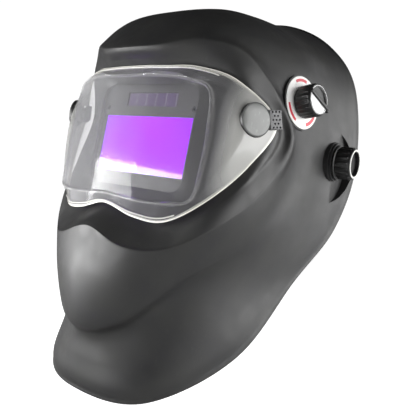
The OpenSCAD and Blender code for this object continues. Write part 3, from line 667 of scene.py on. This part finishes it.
def mirrored(obj):
    """The piece moved to the other side."""
    obj.data.transform(mirror(-1))
    tidy_normals(obj.data)
    return obj


def share(obj, name, values):
    """Stores one value for each point, which the clear material reads."""
    attribute = obj.data.attributes.new(name, "FLOAT", "POINT")
    attribute.data.foreach_set("value", np.clip(values, 0, 1).astype(np.float32))


def mark(obj, value):
    """Gives every point of a piece the same share of the milky edge look, a painted bright highlight."""
    count = len(obj.data.vertices)
    share(obj, "edge", np.full(count, value))
    share(obj, "side", np.ones(count))


def shell_edge(lens, net):
    """Marks the points near the lens's outer edge and its inner step, which get a milky, painted bright
    highlight, and how far each point lies towards the lens's ends.
    """
    us = hood_columns()
    v0 = np.array([0.0])
    rim = whole_rings(surface(net, us, v0) - LENS_WALL / 2 * normals(net, us, v0))[0]
    step = whole_rings(surface(net, us, np.array([2.0])))[0]
    co = np.array([v.co for v in lens.data.vertices]) / MM - np.array(WINDOW)
    to_rim = np.array([np.min(np.linalg.norm(rim - p, axis=1)) for p in co])
    to_step = np.array([np.min(np.linalg.norm(step - p, axis=1)) for p in co])
    share(lens, "edge", np.clip((2.4 - to_rim) / 1.2, 0, 1) + 0.3 * np.clip((1.6 - to_step) / 1.6, 0, 1))
    share(lens, "side", (np.abs(co[:, 0]) - 80) / 14)


def make_stud(side):
    """Black stud with a straight side, and the glossy domed cap that is set into it."""
    word = "left" if side > 0 else "right"
    body = [(7, -9, 0), (7, 0.2, 0), (12.6, 0.4, 0), (STUD_R, 0.8, 0), (STUD_R, 3.8, 0), (12.8, 4.1, 0),
            (12.4, 4.1, 0), (12.3, 3.6, 0), (0.3, 3.6, 0)]
    cap = [(12.2, 3.65, 0), (12.2, 4.1, 0), (12.0, 4.3, 0)]
    cap += [(r, 5.4 - r * r / 130, 0) for r in (11.4, 9.5, 7, 4.5, 2, 0.3)]
    return (turned(f"stud_body_{word}", body, on_ear(side)), turned(f"stud_cap_{word}", cap, on_ear(side)))


def make_release(side):
    """Release tab with rounded edges and thirteen dimples in staggered rows."""
    place = on_ear(side) @ shift(RELEASE_X, 0, 0)
    tab = rounded_bar(f"release_tab_{'left' if side > 0 else 'right'}", (RELEASE_L, RELEASE_W, 2.4), 0.5,
                      place @ shift(RELEASE_L / 2, 0, -0.2))
    tools = []
    for row in range(5):
        for k in range(3 - row % 2):
            at = (3 + (k + (row % 2) / 2) * 3.1, (row - 2) * 3, -0.4)
            tools.append(rod(0.85, -2, 3, place @ shift(*at), 20))
    cut(tab, tools)
    hinge = turned("hinge", [(1.2, 0, 0), (1.2, RELEASE_W - 2, 0)],
                   place @ shift(0.2, RELEASE_W / 2 - 1, -1.6) @ Matrix.Rotation(math.pi / 2, 4, "X"),
                   segments=24)
    return join([tab, hinge])


# ---- knobs ----

def make_shade_knob():
    """Ribbed black grip with a raised bar and a pointer on its face."""
    top = KNOB_Z + KNOB_H
    profile = [(7.6, KNOB_Z + 2.6, 0), (7.6, KNOB_Z, 0), (12.4, KNOB_Z, 0), (KNOB_R, KNOB_Z + 0.6, 0.2),
               (KNOB_R, KNOB_Z + 1.4, 1), (KNOB_R, top - 2.4, 1), (KNOB_R, top - 1.4, 0.2),
               (12.7, top - 0.4, 0),
               (12.2, top, 0), (11.9, top, 0), (11.9, top - 1, 0), (0.3, top - 1, 0)]
    knob = turned("shade_knob_grip", profile, on_dial(), 24, 0.5, 192)
    bar = rounded_bar("bar", (27, 2.6, 3.6), 0.5, on_dial() @ Matrix.Rotation(math.radians(POINTER), 4, "Z")
                      @ shift(0.7, 0, top + 0.2))
    tip = rounded_bar("tip", (4, 4, 3), 0.6, on_dial() @ Matrix.Rotation(math.radians(POINTER), 4, "Z")
                      @ shift(KNOB_R + 0.6, 0, top - 0.2))
    return join([knob, bar, tip])


def half_disc(name, radius, low, high, start, place):
    """A half disc with a small chamfer, on one side of the bar."""
    arc = [math.radians(start + a) for a in np.linspace(0, 180, 49)]
    gap = 1.5 * np.array([-math.sin(arc[0]), math.cos(arc[0])])
    rings = []
    for z, r in ((low, radius), (high - 0.25, radius), (high, radius - 0.3)):
        rings += [(r * math.cos(a) * 0.985 + gap[0], r * math.sin(a) * 0.985 + gap[1], z) for a in arc]
    n = len(arc)
    faces = ring_faces(3, n) + [tuple(range(n)), tuple(range(2 * n, 3 * n))]
    return make_piece(name, rings, faces, place)


def make_shade_face():
    """Thin silver ring round the knob's face."""
    top = KNOB_Z + KNOB_H
    return turned_ring("shade_knob_face", [(10.9, top - 0.95, 0), (11.8, top - 0.95, 0), (11.8, top + 0.5, 0),
                                      (11.5, top + 0.8, 0), (11.1, top + 0.8, 0), (10.9, top + 0.5, 0),
                                      (10.9, top - 0.95, 0)], on_dial())


def make_tension_knob(side):
    """Ribbed knob with a flange at its foot and a deep round recess in its face."""
    end = TENSION_L
    profile = [(8.05, 0.1, 0), (15.4, 0.1, 0), (16, 0.6, 0), (16, 1.9, 0), (15.4, 2.5, 0), (14.1, 2.7, 0),
               (TENSION_R, 3.6, 1), (TENSION_R, end - 3, 1), (TENSION_R, end - 2.2, 0),
               (TENSION_R, end - 1, 0),
               (13.4, end - 0.2, 0), (12.7, end, 0), (11.2, end, 0), (10.8, end - 0.4, 0),
               (10.6, end - 3.4, 0),
               (8.4, end - 3.8, 0), (0.3, end - 3.8, 0)]
    name = f"tension_grip_{'left' if side > 0 else 'right'}"
    return turned(name, profile, along_x(side, TENSION_X), 18, 0.9, 216)


def make_end_ring(side):
    """Pale ring let into the end of a tension knob."""
    low, high = TENSION_L - 0.3, TENSION_L + 0.3
    name = f"tension_ring_{'left' if side > 0 else 'right'}"
    profile = [(11.4, low, 0), (13.1, low, 0), (13.1, high - 0.2, 0), (12.9, high, 0), (11.6, high, 0),
               (11.4, high - 0.2, 0), (11.4, low, 0)]
    return turned_ring(name, profile, along_x(side, TENSION_X))


def make_dial_plate():
    """White plate with raised arcs in red, as a scale without lettering."""
    up = DIAL_UP + 0.05
    plate = turned_ring("dial_scale_plate", [(8, up, 0), (21.6, up, 0), (DIAL_R, up + 0.3, 0),
                                             (21.7, up + 0.8, 0),
                                        (8.2, up + 0.8, 0), (8, up + 0.6, 0), (8, up, 0)], on_dial(), 160)
    marks = [arc_mark("low_left", 196, 246, 17.4, 19.8), arc_mark("low_right", 292, 338, 17.0, 19.8),
             arc_mark("top", 82, 128, 17.4, 19.8)]
    return plate, marks


def arc_mark(name, start, end, r_in, r_out):
    """Raised mark on the dial plate along an arc."""
    up, top = DIAL_UP + 0.8, DIAL_UP + 1.0
    arc = [math.radians(a) for a in np.linspace(start, end, 25)]
    points = []
    for r, z in ((r_in, up), (r_in, top), (r_out, top), (r_out, up)):
        points += [(r * math.cos(a), r * math.sin(a), z) for a in arc]
    n = len(arc)
    faces = []
    for i in range(4):
        a, b = i * n, ((i + 1) % 4) * n
        faces += [(a + k, a + k + 1, b + k + 1, b + k) for k in range(n - 1)]
    faces += [tuple(i * n for i in range(4)), tuple(i * n + n - 1 for i in range(4))]
    return make_piece(f"dial_mark_{name}", points, faces, on_dial())


# ---- padded pieces ----

def puff(obj, voxel, pressure, cap, scale=5.0):
    """Swells a closed pad like stuffed cloth: remesh, cloth with pressure, a cap on how far a point moves."""
    obj.data.transform(Matrix.Scale(scale, 4))
    remesh = obj.modifiers.new("remesh", "REMESH")
    remesh.mode, remesh.voxel_size = "VOXEL", voxel * scale
    apply_modifiers(obj)
    before = np.array([v.co for v in obj.data.vertices])
    cloth_settings = obj.modifiers.new("cloth", "CLOTH").settings
    cloth_settings.quality = 4
    cloth_settings.mass = 0.2
    cloth_settings.use_pressure = True
    cloth_settings.uniform_pressure_force = pressure
    cloth_settings.effector_weights.gravity = 0
    scene = bpy.context.scene
    for frame in range(1, 21):
        scene.frame_set(frame)
    apply_modifiers(obj)
    scene.frame_set(1)
    after = np.array([v.co for v in obj.data.vertices])
    step = after - before
    far = np.linalg.norm(step, axis=1, keepdims=True)
    after = before + step * np.minimum(1, cap * scale / np.maximum(far, 1e-9))
    obj.data.vertices.foreach_set("co", after.astype(np.float32).ravel())
    obj.data.transform(Matrix.Scale(1 / scale, 4))
    smooth = obj.modifiers.new("smooth", "SMOOTH")
    smooth.iterations, smooth.factor = 3, 0.5
    apply_modifiers(obj)
    obj.data.shade_smooth()
    return obj


def press_channels(obj, depth_at):
    """Moves each point along its normal by -depth_at(point in millimetres), for seams and quilting."""
    obj.data.update()
    moved = []
    for v in obj.data.vertices:
        d = depth_at(v.co / MM)
        moved.append(v.co - v.normal * d * MM)
    obj.data.vertices.foreach_set("co", np.array(moved, np.float32).ravel())
    obj.data.update()


def groove(distance, width, depth):
    """Depth of a rounded groove at that distance from its middle."""
    return depth * max(0.0, 1 - (distance / width) ** 2) if abs(distance) < width else 0.0


def make_sweatband():
    """Curved forehead pad with vertical quilted channels and a seam round its border."""
    half, r_in, r_out, tall = 66, 80.6, 84.9, 13.4
    angles = [math.radians(270 + a) for a in np.linspace(-half, half, 80)]
    points = []
    for r, z in ((r_in, -tall), (r_in, tall), (r_out, tall), (r_out, -tall)):
        points += [(r * math.cos(a), r * math.sin(a), z) for a in angles]
    n = len(angles)
    faces = []
    for i in range(4):
        a, b = i * n, ((i + 1) % 4) * n
        faces += [(a + k, a + k + 1, b + k + 1, b + k) for k in range(n - 1)]
    faces += [tuple(i * n for i in range(4)), tuple(i * n + n - 1 for i in range(4))]
    pad = puff(make_piece("forehead_sweatband", points, faces), 0.0022, 4.0, 0.0014)

    def depth_at(p):
        angle = math.degrees(math.atan2(p.x, -p.y))
        r = math.hypot(p.x, p.y)
        inside = 1.0 if r < 83 else 0.0
        near = (angle + 11) % 22 - 11
        channel = groove(abs(near) * 1.4, 2.6, 1.1)
        seam = groove(abs(abs(p.z) - 11.6), 1.4, 0.6)
        return inside * max(channel, seam)
    subdivide(pad)
    press_channels(pad, depth_at)
    pad.data.transform(on_band())
    return pad


def make_rear_pad():
    """Flat rear pad, crowned on the wearer's side, with two stitched channels across it."""
    back = 124 - 3 - 0.4
    pad = rounded_bar("rear_nape_pad", (60, 4.2, 26), 1.6, shift(0, back - 3.2, 0))
    pad = puff(pad, 0.0022, 4.0, 0.0012)

    def depth_at(p):
        if p.y > back - 2.5:
            return 0.0
        channel = max(groove(abs(p.x - x), 2.4, 1.0) for x in (-11, 11))
        seam = max(groove(abs(abs(p.x) - 27.5), 1.3, 0.5), groove(abs(abs(p.z) - 11), 1.3, 0.5))
        return max(channel, seam)
    subdivide(pad)
    press_channels(pad, depth_at)
    pad.data.transform(on_band())
    return pad


def subdivide(obj):
    """One level of subdivision, applied."""
    fine = obj.modifiers.new("fine", "SUBSURF")
    fine.levels = fine.render_levels = 1
    apply_modifiers(obj)
    obj.data.shade_smooth()


# ---- camera, light and floor ----

def place_camera():
    """Camera at the front left quarter, a little below the window's level and rolled."""
    turn, rise, roll = (math.radians(x) for x in (35.22, -1.89, 10.89))
    back = Vector((math.sin(turn) * math.cos(rise), -math.cos(turn) * math.cos(rise), math.sin(rise)))
    right0 = Vector((math.cos(turn), math.sin(turn), 0))
    up0 = back.cross(right0)
    right = right0 * math.cos(roll) + up0 * math.sin(roll)
    up = up0 * math.cos(roll) - right0 * math.sin(roll)
    at = (back * 408.96 + right * 56.41 - up * 53.44 + WINDOW) * MM
    data = bpy.data.cameras.new("camera")
    data.sensor_width = 36
    data.lens = 36 * 480 / 414
    data.clip_start = 0.01
    camera = bpy.data.objects.new("camera", data)
    turned_to = Matrix((right, up, back)).transposed().to_4x4()
    camera.matrix_world = Matrix.Translation(at) @ turned_to
    bpy.context.scene.collection.objects.link(camera)
    bpy.context.scene.camera = camera


def softbox(name, azimuth, elevation, distance, size, power, colour=(1, 1, 1), target=(0, -0.03, -0.02)):
    """Area light round the object. Azimuth 0 is in front of it and 90 at the wearer's left."""
    a, e = math.radians(azimuth), math.radians(elevation)
    way = Vector((math.sin(a) * math.cos(e), -math.cos(a) * math.cos(e), math.sin(e)))
    data = bpy.data.lights.new(name, "AREA")
    data.shape, data.size, data.size_y = "RECTANGLE", size[0], size[1]
    data.energy, data.color = power, colour
    light = bpy.data.objects.new(name, data)
    light.location = Vector(target) + way * distance
    light.rotation_mode = "QUATERNION"
    light.rotation_quaternion = way.to_track_quat("Z", "Y")
    bpy.context.scene.collection.objects.link(light)


def make_world():
    """Even white round the sides, darker overhead, and a white backdrop for the camera."""
    world = bpy.data.worlds.new("studio")
    bpy.context.scene.world = world
    world.use_nodes = True
    tree = world.node_tree
    tree.nodes.clear()
    way = tree.nodes.new("ShaderNodeTexCoord").outputs["Generated"]
    split = tree.nodes.new("ShaderNodeSeparateXYZ")
    tree.links.new(way, split.inputs[0])
    ramp = tree.nodes.new("ShaderNodeMapRange")
    for k, x in zip(("From Min", "From Max", "To Min", "To Max"), (-0.1, 0.5, 0.16, 0.03)):
        ramp.inputs[k].default_value = x
    tree.links.new(split.outputs["Z"], ramp.inputs["Value"])
    light, backdrop = tree.nodes.new("ShaderNodeBackground"), tree.nodes.new("ShaderNodeBackground")
    tree.links.new(ramp.outputs["Result"], light.inputs["Strength"])
    backdrop.inputs["Color"].default_value = (1, 1, 1, 1)
    light.inputs["Color"].default_value = (1, 1, 1, 1)
    backdrop.inputs["Strength"].default_value = 1.05
    pick, path = tree.nodes.new("ShaderNodeMixShader"), tree.nodes.new("ShaderNodeLightPath")
    tree.links.new(path.outputs["Is Camera Ray"], pick.inputs["Fac"])
    tree.links.new(light.outputs[0], pick.inputs[1])
    tree.links.new(backdrop.outputs[0], pick.inputs[2])
    out = tree.nodes.new("ShaderNodeOutputWorld")
    tree.links.new(pick.outputs[0], out.inputs["Surface"])


def make_floor(low):
    """A large pale floor, lit so evenly that it goes over into the backdrop."""
    bpy.ops.mesh.primitive_plane_add(size=60, location=(0, 0, low - 0.001))
    floor = bpy.context.object
    floor.name = "floor"
    pale = moulded("pale_floor", (0.8, 0.8, 0.8), (0.84, 0.84, 0.84), (0.75, 0.85), 200)
    shader = pale.node_tree.nodes["Principled BSDF"]
    shader.inputs["Emission Color"].default_value = (1, 1, 1, 1)
    path = pale.node_tree.nodes.new("ShaderNodeLightPath")
    pale.node_tree.links.new(path.outputs["Is Camera Ray"], shader.inputs["Emission Strength"])
    floor.data.materials.append(pale)


def make_lights():
    """Soft boxes at the left, low in front, at the right and behind."""
    softbox("left_box", -56, -13, 0.65, (0.6, 0.2), 0.5)
    softbox("pane_strip", -42, 0, 0.9, (0.6, 0.14), 6, target=(0, -0.15, -0.03))
    softbox("floor_bounce", -26, -21, 0.55, (0.5, 0.2), 4.5)
    softbox("right_box", 104, 4, 1.1, (1.2, 1.1), 23)
    softbox("back_edge", 165, 25, 1.3, (0.6, 0.8), 2)


# ---- the helmet ----

def dress_cad(frame, materials):
    """Gives each CAD node its slot's material, but the washers are black as they are seen."""
    slots = {s["node"]: s["material_slot"] for s in frame["record"]["subparts"]}
    for name, obj in frame["nodes"].items():
        obj.data.materials.clear()
        finish = "black_plastic" if name == "friction_washers" else slots[name]
        obj.data.materials.append(materials[finish])


def replace(obj, slot, materials, body, *cad_nodes):
    """Dresses a piece that stands for CAD nodes."""
    dress(obj, slot, materials, body)
    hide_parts(*cad_nodes)


def make_helmet(materials):
    """Every piece that is finer than its CAD node."""
    replace(make_hood(), "hood_plastic", materials, "hood", "hood")
    replace(make_cover_lens(), "clear_lens", materials, "hood", "cover_lens")
    for side, word in ((1, "left"), (-1, "right")):
        stud, cap = make_stud(side)
        replace(stud, "knob_black", materials, "hood", f"lens_stud_{word}")
        dress(cap, "stud_grey", materials, "hood")
        body = f"lens_release_{word}"
        replace(make_release(side), "tab_grey", materials, body, body)
        body = f"tension_knob_{word}"
        replace(make_tension_knob(side), "knob_black", materials, body, body)
        dress(make_end_ring(side), "washer_white", materials, body)
    replace(make_shade_knob(), "knob_black", materials, "shade_knob", "shade_knob")
    replace(make_shade_face(), "silver_ring", materials, "shade_knob", "shade_knob_cap")
    dress(half_disc("shade_knob_half", 10.8, KNOB_Z + KNOB_H - 0.95, KNOB_Z + KNOB_H + 0.5, POINTER + 180,
                    on_dial()), "silver_ring", materials, "shade_knob")
    plate, marks = make_dial_plate()
    replace(plate, "dial_white", materials, "hood", "dial_plate")
    red = moulded("dial_red", (0.5, 0.03, 0.05), (0.58, 0.05, 0.07), (0.3, 0.4))
    for m in marks:
        dress(m, "dial_white", {"dial_white": red}, "hood")
    for pad, slot, body, node in ((make_sweatband(), "towelling", "headgear", "sweatband"),
                                  (make_rear_pad(), "foam", "rear_band", "rear_pad")):
        replace(pad, slot, materials, body, node)


bpy.context.scene.view_settings.view_transform = "Standard"
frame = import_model()
cad_box = [list(corner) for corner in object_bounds()]
place_camera()
make_world()
make_lights()
make_floor(cad_box[0][2])
finishes = make_materials()
dress_cad(frame, finishes)
make_helmet(finishes)
